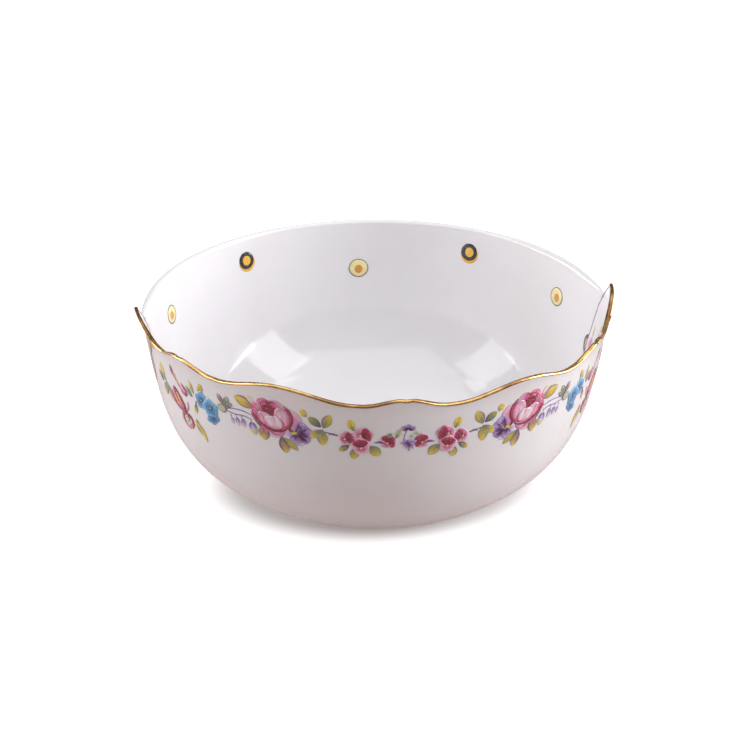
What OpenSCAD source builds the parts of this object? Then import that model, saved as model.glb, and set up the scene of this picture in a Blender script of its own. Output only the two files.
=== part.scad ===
// Porcelain serving bowl joined from two styles: a scalloped, gilded half with a
// rose garland, and a plain half with ringed dots inside.
// +Z is up, the foot stands on z = 0, the bowl's axis is the Z axis, the scalloped
// half faces -Y and the seam between the two styles lies in the plane y = 0.
// Angles on the wall run from -Y towards +X, so 0 is the middle of the scalloped half.

/* [Bowl] */
// Radius of the plain half at its lip
bowl_r = 112; // [90:1:140]
// Height of the plain half
bowl_h = 94; // [80:0.5:120]
// Radius where the wall curve reaches the table plane
base_r = 50; // [44:0.5:60]
// How far the wall leans out for each millimetre of height
wall_lean = 0.176; // [0.1:0.002:0.25]
// How quickly the wall turns up from the base
wall_fullness = 4.7; // [3.5:0.1:6]
// Thickness of the wall
wall_t = 4; // [3:0.1:5.5]
// Height of the flat floor inside
floor_h = 6.6; // [5:0.1:9]

/* [Foot] */
// Outer radius of the foot ring
foot_r = 49; // [40:0.5:52]
// Width of the foot ring where it stands
foot_w = 5.5; // [3:0.5:8]
// Height of the foot ring
foot_h = 3; // [2:0.1:4.5]

/* [Scalloped lip] */
// Height of the valleys of the lip
lip_low = 92.5; // [82:0.5:120]
// Rise of each broad crest above the valleys
crest_rise = 6.7; // [3:0.1:9]
// Half width of a crest, in degrees
crest_reach = 18; // [14:0.5:19]
// Rise of each small double peak between the crests
peak_rise = 4.2; // [2:0.1:6]
// Half width of a double peak, in degrees
peak_reach = 10.5; // [7:0.5:11]
// Depth of the notch in the middle of a double peak
notch_dip = 0.7; // [0:0.1:1.5]
// How much higher the left crests stand than the mean
lip_sway = 2; // [0:0.1:3]
// How far below its valleys the lip starts to flare
flare_drop = 6.5; // [2:0.5:12]
// Strength of the flare
flare_gain = 0.016; // [0.01:0.002:0.05]
// Thickness of the scalloped lip
lip_t = 1.9; // [1.6:0.1:4]
// Height at which the wall starts to thin towards that lip
thin_start = 70; // [50:1:80]

/* [Gilding and transfers] */
// Depth of the gold line on the outside of the lip
gilt_depth = 0.9; // [0.6:0.1:2.5]
// Depth of the gold line on the inside of the lip
gilt_depth_inside = 0.7; // [0.5:0.1:2.5]
// Thickness of the gold line
gilt_t = 0.25; // [0.2:0.05:0.6]
// Thickness of the enamel of a transfer
film_t = 0.25; // [0.2:0.05:0.5]
// Gap between an enamel or the gold and the glaze
film_gap = 0.05; // [0.02:0.01:0.1]
// Width of the lavender seam line
seam_w = 1; // [0.6:0.1:2]
// Diameter of a ringed dot
dot_d = 9.8; // [6:0.1:12]
// Width of the dark ring round a pale dot
dot_ring_w = 0.6; // [0.3:0.1:1.2]
// Diameter of the middle of a dot
dot_eye_d = 4; // [2.5:0.1:5]
// How far the middle of a dot sits below its centre
dot_eye_drop = 0.4; // [0:0.1:0.5]
// How far the pale dot opposite the garland lies below the plain lip
dot_drop = 24; // [18:0.5:32]
// How far the garland's middle line lies below the valleys of the scalloped lip
garland_drop = 18.5; // [17:0.5:30]

/* [Hidden] */
SIDES = ["left", "right"];
PALE_DOTS = ["pale_dot_left", "pale_dot_middle", "pale_dot_right"];
DARK_DOTS = ["dark_dot_left", "dark_dot_right"];
MIRRORED = ["rose", "rose_leaves", "pansy", "bells", "blue_flowers", "ribbon", "ribbon_leaves",
            "crimson_trio", "crimson_single", "leaf_pair", "garland_stem", "seam_spray",
            "half_dot", "inner_flower"];

swell = bowl_r - base_r - wall_lean * bowl_h;
scallop_pitch = 60;
lip_top = lip_low + crest_rise + lip_sway + 2;
flare_start = lip_low - flare_drop;
garland_z = lip_low - garland_drop;
dot_z = bowl_h - dot_drop;
pale_angles = [-114.5, 177.7, 113.5];
pale_heights = [dot_z + 5.5, dot_z, dot_z + 5.5];
dark_angles = [-149.2, 146.2];
dark_height = dot_z + 12;
wall_steps = 26;
flare_step = 2;
lip_step = 2.5;
round_fn = 48;
cut_over = 12;
porcelain = "#f3f1f0";
gold = "#d6a24a";
lavender = "#cfc9e2";
black = "#2b2626";
straw = "#f6e7b2";
leaf_green = "#a8a64a";
plum = "#6a3a78";
rose_pink = "#e58fb0";
crimson = "#b02a5c";
sky_blue = "#4f93c4";

// Outer wall of the plain half: radius and slope at a height.
function wall_left(z) = max(0, 1 - z / bowl_h);
function wall_r(z) = base_r + wall_lean * z + swell * (1 - pow(wall_left(z), wall_fullness));
function wall_slope(z) =
    wall_lean + swell * wall_fullness / bowl_h * pow(wall_left(z), wall_fullness - 1);
function inset(t, slope) = t * sqrt(1 + slope * slope);
function wall_inner_r(z) = wall_r(z) - inset(wall_t, wall_slope(z));

// Outer and inner wall of the scalloped half, which thins and flares near its lip.
function flare_up(z) = max(0, z - flare_start);
function front_r(z) = wall_r(z) + flare_gain * pow(flare_up(z), 2);
function front_slope(z) = wall_slope(z) + 2 * flare_gain * flare_up(z);
function front_t(z) =
    wall_t - (wall_t - lip_t) * min(1, max(0, (z - thin_start) / (lip_low - thin_start)));
function front_inner_r(z) = front_r(z) - inset(front_t(z), front_slope(z));

// Height of the scalloped lip at an angle on the wall.
function bump(x, reach) = (1 + cos(180 * min(1, abs(x) / reach))) / 2;
function off_peak(a) = abs(a - scallop_pitch * round(a / scallop_pitch));
function lip_z(a) =
    lip_low
    + crest_rise * bump(off_peak(a) - scallop_pitch / 2, crest_reach)
    + peak_rise * bump(off_peak(a), peak_reach)
    - notch_dip * bump(off_peak(a), peak_reach / 6)
    - lip_sway * sin(2 * a);

// Heights from low to high, closer together near the table, where the wall turns.
function heights(low, high) =
    [for (i = [0 : wall_steps]) low + (high - low) * pow(i / wall_steps, 1.5)];
function flare_heights(low) =
    concat(heights(low, flare_start),
           [for (z = [flare_start + flare_step : flare_step : lip_top]) z]);
function turn_of(side) = side == "left" ? -1 : 1;
function backwards(list) = [for (i = [len(list) - 1 : -1 : 0]) list[i]];

// The wall and what lies on it share these heights, so their faces stay parallel.
rear_top = bowl_h - wall_t / 2;
rear_outer_z = heights(foot_h, rear_top);
rear_inner_z = heights(floor_h, rear_top);
front_outer_z = flare_heights(foot_h);
front_inner_z = flare_heights(floor_h);
front_transfer_low = garland_z - 30;
rear_transfer_low = dot_z - 24;
function above(levels, low) = [for (z = levels) if (z > low) z];

// ---- Porcelain ----

module rear_profile() {
    outer = [for (z = rear_outer_z) [wall_r(z), z]];
    inner = [for (z = rear_inner_z) [wall_inner_r(z), z]];
    lip_mid = (wall_r(rear_top) + wall_inner_r(rear_top)) / 2;
    lip_half = (wall_r(rear_top) - wall_inner_r(rear_top)) / 2;
    lip = [for (a = [15 : 15 : 165])
        [lip_mid + lip_half * cos(a), rear_top + (bowl_h - rear_top) * sin(a)]];
    polygon(concat([[0, foot_h]], outer, lip, backwards(inner), [[0, floor_h]]));
}

module front_profile() {
    outer = [for (z = front_outer_z) [front_r(z), z]];
    inner = [for (z = front_inner_z) [front_inner_r(z), z]];
    polygon(concat([[0, foot_h]], outer, backwards(inner), [[0, floor_h]]));
}

module foot_profile() {
    bevel = foot_w / 5;
    sunk = foot_h + 0.5;
    polygon([[foot_r - foot_w, 0], [foot_r - bevel / 2, 0], [foot_r, bevel / 2],
             [foot_r + bevel, foot_h], [foot_r + bevel, sunk], [foot_r - foot_w - bevel, sunk],
             [foot_r - foot_w - bevel, foot_h]]);
}

// Everything above the scalloped lip, as a curtain that follows it.
module above_lip() {
    near = bowl_r - cut_over;
    far = bowl_r + cut_over;
    top = lip_top + 1;
    angles = [for (a = [-90 - lip_step : lip_step : 90 + lip_step]) a];
    rings = len(angles);
    corners = [for (a = angles) each [
        for (p = [[near, lip_z(a)], [far, lip_z(a)], [far, top], [near, top]])
            [p[0] * sin(a), -p[0] * cos(a), p[1]]
    ]];
    sides = [for (i = [0 : rings - 2], k = [0 : 3])
        let (a = 4 * i + k, b = 4 * i + (k + 1) % 4)
        each [[a, b, b + 4], [a, b + 4, a + 4]]];
    last = 4 * (rings - 1);
    polyhedron(corners, concat([[3, 2, 1, 0], [last, last + 1, last + 2, last + 3]], sides));
}

module porcelain_body() color(porcelain) {
    rotate_extrude($fn = round_fn) foot_profile();
    rotate_extrude(angle = 180, $fn = round_fn) rear_profile();
    difference() {
        rotate([0, 0, 180]) rotate_extrude(angle = 180, $fn = round_fn) front_profile();
        above_lip();
    }
}

// ---- Gilding ----

// Section of the gold line at an angle: a cap over the lip, as [radius, height] points.
function gilt_section(a) =
    let (z = lip_z(a), near = film_gap, far = film_gap + gilt_t,
         foot = z - gilt_depth, inner_foot = z - gilt_depth_inside)
    [[front_r(foot) + near, foot], [front_r(foot) + far, foot],
     [front_r(z) + far, z + far], [front_inner_r(z) - far, z + far],
     [front_inner_r(inner_foot) - far, inner_foot], [front_inner_r(inner_foot) - near, inner_foot],
     [front_inner_r(z) - near, z + near], [front_r(z) + near, z + near]];

module gilt_rim() color(gold) {
    angles = [for (a = [-90 : lip_step : 90]) a];
    rings = len(angles);
    count = len(gilt_section(0));
    points = [for (a = angles) each
        [for (p = gilt_section(a)) [p[0] * sin(a), -p[0] * cos(a), p[1]]]];
    sides = [for (i = [0 : rings - 2], k = [0 : count - 1])
        let (a = count * i + k, b = count * i + (k + 1) % count)
        each [[a, b + count, b], [a, a + count, b + count]]];
    first = [for (k = [0 : count - 1]) k];
    last = [for (k = [count - 1 : -1 : 0]) count * (rings - 1) + k];
    polyhedron(points, concat([first, last], sides));
}

// ---- Seam lines ----

seam_top = lip_z(90) - gilt_depth - gilt_t;

// Keeps the stretch of a round skin that lies along the seam, on the scalloped side.
module along_seam() intersection() {
    translate([-bowl_r - cut_over, -seam_w, 0]) cube([2 * (bowl_r + cut_over), seam_w, seam_top]);
    rotate_extrude($fn = round_fn) children();
}

module seam_line_inside() color(lavender) along_seam() {
    skin = [for (z = front_inner_z) [front_inner_r(z) - film_gap, z + film_gap]];
    face = [for (z = front_inner_z) [front_inner_r(z) - film_gap - film_t, z + film_gap + film_t]];
    polygon(concat([[0, floor_h + film_gap]], skin, backwards(face),
                   [[0, floor_h + film_gap + film_t]]));
}

module seam_line_outside() color(lavender) along_seam() film_profile(foot_h + 1);

// ---- Transfers: thin enamel that lies on the wall ----

// A skin over the wall from one height up. It lies outside where side is 1, inside where -1.
module skin_profile(radii, levels, side) {
    near = [for (i = [0 : len(levels) - 1]) [radii[i] + side * film_gap, levels[i]]];
    far = [for (i = [0 : len(levels) - 1]) [radii[i] + side * (film_gap + film_t), levels[i]]];
    polygon(concat(near, backwards(far)));
}

module film_profile(low) {
    levels = above(front_outer_z, low);
    skin_profile([for (z = levels) front_r(z)], levels, 1);
}

module rear_inside_profile() {
    levels = above(rear_inner_z, rear_transfer_low);
    skin_profile([for (z = levels) wall_inner_r(z)], levels, -1);
}

module front_inside_profile() {
    levels = above(front_inner_z, front_transfer_low);
    skin_profile([for (z = levels) front_inner_r(z)], levels, -1);
}

transfer_span = 34;

// Cuts a flat drawing, in millimetres right and up, out of a round skin at an angle.
// The first child is the skin's section and the rest is the drawing.
module cut_from_skin(angle) intersection() {
    rotate([0, 0, angle - 90 - transfer_span / 2])
        rotate_extrude(angle = transfer_span, $fn = round_fn) children(0);
    rotate([0, 0, angle]) rotate([90, 0, 0]) translate([0, 0, bowl_r - 3 * cut_over])
        linear_extrude(4 * cut_over) children([1 : $children - 1]);
}

module on_wall(angle) cut_from_skin(angle) {
    film_profile(front_transfer_low);
    children();
}

module bloom(r, lobes, depth) {
    polygon([for (a = [0 : 10 : 350]) let (q = r * (1 + depth * cos(lobes * a))) [q * cos(a), q * sin(a)]]);
}

module leaf(len, wide) {
    upper = [for (i = [0 : 8]) [len * i / 8, wide / 2 * sin(22.5 * i)]];
    lower = [for (i = [7 : -1 : 1]) [len * i / 8, -wide / 2 * sin(22.5 * i)]];
    polygon(concat(upper, lower));
}

module placed(x, y, turn = 0) translate([x, y]) rotate(turn) children();

module stalk(len) translate([0, -0.3]) square([len, 0.6]);

// Each drawing is made for the right side, and the left one is its mirror image.
module mirrored(side, angle) on_wall(turn_of(side) * angle) scale([turn_of(side), 1]) children();

module rose(side) color(rose_pink) mirrored(side, 32)
    placed(0, garland_z + 7) scale([1.13, 1]) bloom(10, 6, 0.05);

module rose_leaves(side) color(leaf_green) mirrored(side, 32) difference() {
    union() {
        placed(11, garland_z + 9, 25) leaf(9, 5);
        placed(5.5, garland_z - 4, -55) leaf(8, 4);
        placed(-2, garland_z - 4, -100) leaf(8, 4.6);
    }
    placed(0, garland_z + 7) scale([1.13, 1]) bloom(10.8, 6, 0.05);
}

module pansy(side) color(plum) mirrored(side, 25) difference() {
    placed(0, garland_z) bloom(6.2, 5, 0.12);
    placed(13.2, garland_z + 7) scale([1.13, 1]) bloom(10.6, 6, 0.05);
}

module bells(side) color(plum) mirrored(side, 42) for (i = [-1.5 : 1 : 1.5])
    placed(4.2 * i, garland_z - 1 - abs(i) / 2, -80) leaf(4.4, 3);

module blue_flowers(side) color(sky_blue) mirrored(side, 52) {
    placed(2.2, garland_z + 2.4) bloom(4, 5, 0.12);
    placed(-2, garland_z - 5) bloom(4, 5, 0.12);
}

module ribbon(side) color(rose_pink) mirrored(side, 64) for (turn = [70, -70])
    placed(0, garland_z - 6, turn) difference() {
        leaf(14, 8);
        placed(2.5, 0) leaf(9, 4.6);
    }

module ribbon_leaves(side) color(leaf_green) mirrored(side, 58) {
    placed(1, garland_z + 2, 100) leaf(8, 4);
    placed(0, garland_z - 16, -130) leaf(8, 4);
}

module crimson_trio(side) color(crimson) mirrored(side, 11) {
    placed(-2, garland_z - 4) bloom(3.2, 5, 0.06);
    placed(-3, garland_z + 3) bloom(3.2, 5, 0.06);
    placed(4, garland_z - 0.5) bloom(3.2, 5, 0.06);
}

module crimson_single(side) color(crimson) mirrored(side, 3.9)
    placed(0, garland_z - 1.6) bloom(3, 5, 0.06);

module leaf_pair(side) color(leaf_green) mirrored(side, 19.5) {
    placed(1.5, garland_z + 5, 95) leaf(9, 4.6);
    placed(1, garland_z + 3, -80) leaf(9, 4.6);
}

module garland_stem(side) color(plum) mirrored(side, 16.2) placed(-1.8, garland_z + 0.5, 5) stalk(4.4);

module seam_spray(side) color(leaf_green) mirrored(side, 73) {
    placed(0, garland_z - 6, 120) leaf(9, 4.4);
    placed(2, garland_z + 5, 80) leaf(8, 4);
}

module centre_sprig() color(plum) on_wall(0.7) {
    placed(0, garland_z + 3.5, 90) leaf(5.5, 3.2);
    placed(0, garland_z - 6, 75) leaf(5.5, 2.4);
}

// ---- Ringed dots inside ----

module disc(d) circle(d = d, $fn = round_fn);

// A ring, the ground inside it and an eye that sits a little off its middle.
module ringed_dot() {
    ground_d = dot_d - 2 * dot_ring_w;
    difference() {
        disc(dot_d);
        disc(ground_d);
    }
    difference() {
        disc(ground_d - 2 * film_gap);
        translate([0, -dot_eye_drop]) disc(dot_eye_d + 2 * film_gap);
    }
    translate([0, -dot_eye_drop]) disc(dot_eye_d);
}

module inside_dot(angle, z) cut_from_skin(angle) {
    rear_inside_profile();
    placed(0, z) ringed_dot();
}

// A dark dot that the seam cuts in half, on the plain side of the seam.
module half_dot(side) color(black) intersection() {
    inside_dot(turn_of(side) * 90, dot_z - 2);
    translate([-2 * bowl_r, film_gap, 0]) cube([4 * bowl_r, bowl_r, bowl_h]);
}

module inner_flower(side) color(rose_pink) cut_from_skin(turn_of(side) * 86) {
    front_inside_profile();
    placed(0, garland_z - 5) bloom(3.6, 5, 0.06);
}

porcelain_body();
gilt_rim();
seam_line_inside();
seam_line_outside();
centre_sprig();
for (i = [0 : 2])
    color(straw) inside_dot(pale_angles[i], pale_heights[i]);
for (i = [0 : 1])
    color(black) inside_dot(dark_angles[i], dark_height);
for (side = SIDES) {
    rose(side);
    rose_leaves(side);
    pansy(side);
    bells(side);
    blue_flowers(side);
    ribbon(side);
    ribbon_leaves(side);
    crimson_trio(side);
    crimson_single(side);
    leaf_pair(side);
    garland_stem(side);
    seam_spray(side);
    half_dot(side);
    inner_flower(side);
}
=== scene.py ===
"""Builds the finished porcelain serving bowl around its packed frame.

Sizes inside the functions are in millimetres, and MM turns them into metres. Angles on
the wall run from -Y towards +X, in degrees, so 0 is the middle of the scalloped half.
"""

import math

import bmesh
import bpy
from bpy.props import FloatProperty, FloatVectorProperty, PointerProperty
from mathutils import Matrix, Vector, noise


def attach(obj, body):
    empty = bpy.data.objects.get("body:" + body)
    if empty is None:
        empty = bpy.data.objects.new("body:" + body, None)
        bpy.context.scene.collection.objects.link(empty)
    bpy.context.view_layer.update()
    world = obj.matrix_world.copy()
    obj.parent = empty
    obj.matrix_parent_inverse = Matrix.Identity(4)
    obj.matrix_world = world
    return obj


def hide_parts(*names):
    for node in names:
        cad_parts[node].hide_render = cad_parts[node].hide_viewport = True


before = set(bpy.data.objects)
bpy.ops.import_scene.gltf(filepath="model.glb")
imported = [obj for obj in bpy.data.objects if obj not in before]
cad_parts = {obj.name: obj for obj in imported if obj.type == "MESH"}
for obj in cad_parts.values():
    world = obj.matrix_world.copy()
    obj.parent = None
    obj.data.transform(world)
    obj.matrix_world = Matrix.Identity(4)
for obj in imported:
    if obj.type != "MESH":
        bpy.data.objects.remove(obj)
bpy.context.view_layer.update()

bl_info = {
    "name": "Porcelain serving bowl",
    "version": (1, 0, 0),
    "blender": (4, 5, 0),
    "location": "View3D > Sidebar > Bowl",
    "description": "A scalloped, gilded bowl with a rose garland and ringed dots",
    "category": "Object",
}

MM = 0.001
BODY = "root"
SIDES = {"left": -1, "right": 1}


def linear(red, green, blue):
    """A colour given in display values from 0 to 255, as scene-linear values."""
    def one(value):
        value /= 255
        return value / 12.92 if value <= 0.04045 else ((value + 0.055) / 1.055) ** 2.4
    return one(red), one(green), one(blue)


# ---- Settings ----


def length(name, description, millimetres):
    return FloatProperty(name=name, description=description, default=millimetres * MM,
                         min=0.0, subtype="DISTANCE", unit="LENGTH", precision=4)


def turn(name, description, degrees):
    return FloatProperty(name=name, description=description, default=math.radians(degrees),
                         subtype="ANGLE", unit="ROTATION")


def plain(name, description, value):
    return FloatProperty(name=name, description=description, default=value)


def colour(name, description, red, green, blue):
    return FloatVectorProperty(name=name, description=description, subtype="COLOR", size=3,
                               min=0.0, max=1.0, default=linear(red, green, blue))


class BOWL_PG_wall(bpy.types.PropertyGroup):
    """Sizes of the porcelain, the same as the frame's"""
    bowl_r: length("Plain lip radius", "Radius of the plain half at its lip", 112)
    bowl_h: length("Plain height", "Height of the plain half", 94)
    base_r: length("Base radius", "Radius where the wall curve reaches the table", 50)
    wall_lean: plain("Lean", "How far the wall leans out for each unit of height", 0.176)
    wall_fullness: plain("Fullness", "How quickly the wall turns up from the base", 4.7)
    wall_t: length("Wall thickness", "Thickness of the wall", 4)
    floor_h: length("Floor height", "Height of the flat floor inside", 6.6)
    foot_r: length("Foot radius", "Outer radius of the foot ring", 49)
    foot_w: length("Foot width", "Width of the foot ring", 5.5)
    foot_h: length("Foot height", "Height of the foot ring", 3)
    lip_low: length("Lip valleys", "Height of the valleys of the scalloped lip", 92.5)
    crest_rise: length("Crest rise", "Rise of each broad crest", 6.7)
    crest_reach: turn("Crest reach", "Half width of a crest", 18)
    peak_rise: length("Peak rise", "Rise of each small double peak", 4.2)
    peak_reach: turn("Peak reach", "Half width of a double peak", 10.5)
    notch_dip: length("Notch", "Depth of the notch in a double peak", 0.7)
    lip_sway: length("Sway", "How much higher the left crests stand than the mean", 2)
    flare_drop: length("Flare start", "How far below its valleys the lip starts to flare", 6.5)
    flare_gain: plain("Flare", "Strength of the flare, per millimetre", 0.016)
    lip_t: length("Lip thickness", "Thickness of the scalloped lip", 1.9)
    thin_start: length("Thinning start", "Height at which the wall starts to thin", 70)


class BOWL_PG_decoration(bpy.types.PropertyGroup):
    """Sizes of the gilding, the garland and the dots"""
    gilt_depth: length("Gold depth outside", "Depth of the gold line outside the lip", 0.95)
    gilt_depth_inside: length("Gold depth inside", "Depth of the gold line inside the lip", 0.85)
    gilt_t: length("Gold thickness", "Thickness of the gold line", 0.25)
    film_gap: length("Enamel gap", "Gap between an enamel and the glaze", 0.05)
    enamel_t: length("Enamel thickness", "Thickness of one brush stroke of enamel", 0.04)
    seam_w: length("Seam line width", "Width of the lavender line along the seam", 0.9)
    garland_drop: length("Garland drop", "How far the garland lies below the lip valleys", 18.5)
    garland_sway: length("Garland sway", "How much higher the left side of the garland runs", 1.6)
    dot_d: length("Dot diameter", "Diameter of a ringed dot", 9.8)
    dot_drop: length("Dot drop", "How far the middle dot lies below the plain lip", 24)


class BOWL_PG_colours(bpy.types.PropertyGroup):
    """Colours of the glaze, the gold and the enamels"""
    glaze: colour("Glaze", "Cool white of the glaze", 241, 239, 241)
    glaze_warm: colour("Warm glaze", "Warmer white where the glaze is thicker", 237, 233, 233)
    speck: colour("Speck", "Pin specks in the glaze", 196, 184, 172)
    gold: colour("Gold", "Bright gold of the lip", 252, 202, 132)
    # Also used as painted dark reflection along the thin edges of the gold line.
    gold_deep: colour("Deep gold", "Brown gold where the line is thin", 138, 88, 52)
    lavender: colour("Lavender", "Pale petals and the seam line", 202, 182, 222)
    lilac: colour("Lilac", "Shaded lavender petals", 168, 134, 196)
    plum: colour("Plum", "Dark purple brush strokes", 88, 22, 88)
    stem: colour("Stem", "Thin purple stems", 116, 84, 142)
    heart: colour("Heart", "Darkest crimson in the roses", 132, 18, 46)
    crimson: colour("Crimson", "Crimson of the creases and small flowers", 178, 26, 76)
    rose: colour("Rose", "Strong pink", 214, 78, 132)
    pink: colour("Pink", "Middle pink", 232, 142, 180)
    pale_pink: colour("Pale pink", "Palest rose petals", 238, 206, 220)
    blush: colour("Blush", "Nearly white petal", 240, 222, 230)
    yellow: colour("Yellow", "Tips of the leaves", 238, 206, 62)
    olive: colour("Olive", "Middle of the leaves", 188, 174, 84)
    leaf_grey: colour("Grey green", "Shaded leaves", 118, 128, 104)
    leaf_brown: colour("Brown", "Autumn leaves", 164, 128, 92)
    mist_green: colour("Mist green", "Pale round leaves", 196, 206, 172)
    blue: colour("Blue", "Petals of the blue flowers", 56, 140, 198)
    sky: colour("Sky", "Pale edge of the blue flowers", 140, 198, 232)
    navy: colour("Navy", "Dark dashes on the blue flowers", 26, 52, 104)
    straw: colour("Straw", "Ground of the pale dots", 250, 234, 170)
    amber: colour("Amber", "Middle of the dots", 222, 150, 44)
    dot_gold: colour("Dot gold", "Gold of the dark dots", 244, 186, 48)
    black: colour("Black", "Rings of the dots", 26, 20, 20)


class BOWL_PG_stage(bpy.types.PropertyGroup):
    """Camera, floor and lights"""
    camera_azimuth: turn("Camera azimuth", "How far the camera stands towards -X", 7.085)
    camera_elevation: turn("Camera elevation", "Height of the camera above the horizon", 25.03)
    camera_distance: length("Camera distance", "From the middle of the plain half", 1568)
    camera_lens: plain("Lens", "Focal length in millimetres", 155.1)
    floor_size: length("Floor size", "Half the width of the floor", 6000)
    floor_glow: plain("Floor glow", "Light that the white floor gives off by itself", 0.66)
    overhead: plain("Overhead light", "Power of the large overhead box", 33.0)
    left_box: plain("Left box", "Power of the soft box on the left", 8.0)
    right_box: plain("Right box", "Power of the soft box on the right", 11.0)
    left_fill: plain("Left fill", "Power of the low fill light on the left", 20.0)
    right_fill: plain("Right fill", "Power of the low fill light on the right", 33.0)
    surround: plain("Surround", "Brightness of the pale surroundings", 0.27)


def wall_settings():
    return bpy.context.scene.bowl_wall


def decoration():
    return bpy.context.scene.bowl_decoration


def tone(name):
    """A colour from the settings, as a vector that can be mixed."""
    return Vector(getattr(bpy.context.scene.bowl_colours, name))


# ---- The wall ----


class Wall:
    """The bowl's wall: radii, slopes and lip heights, in millimetres and degrees."""

    # Degrees over which the scalloped half turns into the plain one.
    SEAM_BLEND = 14
    # How far the thinning may run on above the lip valleys.
    TIP_THINNING = 1.25

    def __init__(self):
        sizes = wall_settings()
        for name in BOWL_PG_wall.__annotations__:
            value = getattr(sizes, name)
            if name.endswith("_reach"):
                value = math.degrees(value)
            elif name not in ("wall_lean", "wall_fullness", "flare_gain"):
                value /= MM
            setattr(self, name, value)
        self.swell = self.bowl_r - self.base_r - self.wall_lean * self.bowl_h
        self.flare_start = self.lip_low - self.flare_drop

    def left(self, z):
        return max(0.0, 1 - z / self.bowl_h)

    def rear_r(self, z):
        turned_up = 1 - self.left(z) ** self.wall_fullness
        return self.base_r + self.wall_lean * z + self.swell * turned_up

    def rear_slope(self, z):
        gain = self.swell * self.wall_fullness / self.bowl_h
        return self.wall_lean + gain * self.left(z) ** (self.wall_fullness - 1)

    def front_r(self, z):
        return self.rear_r(z) + self.flare_gain * max(0.0, z - self.flare_start) ** 2

    def front_slope(self, z):
        return self.rear_slope(z) + 2 * self.flare_gain * max(0.0, z - self.flare_start)

    def front_t(self, z):
        thinning = (z - self.thin_start) / (self.lip_low - self.thin_start)
        share = min(self.TIP_THINNING, max(0.0, thinning))
        return self.wall_t - (self.wall_t - self.lip_t) * share

    def plain_share(self, angle):
        """0 on the scalloped half, rising to 1 a little way into the plain half."""
        t = min(1.0, max(0.0, (abs(angle) - 90) / self.SEAM_BLEND))
        return t * t * (3 - 2 * t)

    def slope(self, z, angle):
        share = self.plain_share(angle)
        return share * self.rear_slope(z) + (1 - share) * self.front_slope(z)

    def outer(self, z, angle):
        share = self.plain_share(angle)
        return share * self.rear_r(z) + (1 - share) * self.front_r(z)

    def inner(self, z, angle):
        share = self.plain_share(angle)
        thickness = share * self.wall_t + (1 - share) * self.front_t(z)
        return self.outer(z, angle) - thickness * math.hypot(1, self.slope(z, angle))

    def lip_z(self, angle):
        def bump(x, reach):
            return (1 + math.cos(math.pi * min(1.0, abs(x) / reach))) / 2
        off_peak = abs(angle - 60 * round(angle / 60))
        return (self.lip_low
                + self.crest_rise * bump(off_peak - 30, self.crest_reach)
                + self.peak_rise * bump(off_peak, self.peak_reach)
                - self.notch_dip * bump(off_peak, self.peak_reach / 6)
                - self.lip_sway * math.sin(math.radians(2 * angle)))

    def outside(self, angle, z, lift):
        """A point that stands lift off the outside of the scalloped half, in metres."""
        slope = self.front_slope(z)
        steep = math.hypot(1, slope)
        return around(self.front_r(z) + lift / steep, z - lift * slope / steep, angle)

    def inside(self, angle, z, lift):
        """A point that stands lift off the inside of the wall, in metres."""
        slope = self.slope(z, angle)
        steep = math.hypot(1, slope)
        return around(self.inner(z, angle) - lift / steep, z + lift * slope / steep, angle)


def around(radius, z, angle):
    """A point at a radius, height and angle round the bowl, in metres."""
    a = math.radians(angle)
    return Vector((radius * math.sin(a), -radius * math.cos(a), z)) * MM


def angle_of(point):
    return math.degrees(math.atan2(point.x, -point.y))


def spaced(low, high, count, power=1.0):
    return [low + (high - low) * (i / count) ** power for i in range(count + 1)]


# ---- Materials ----


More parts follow.
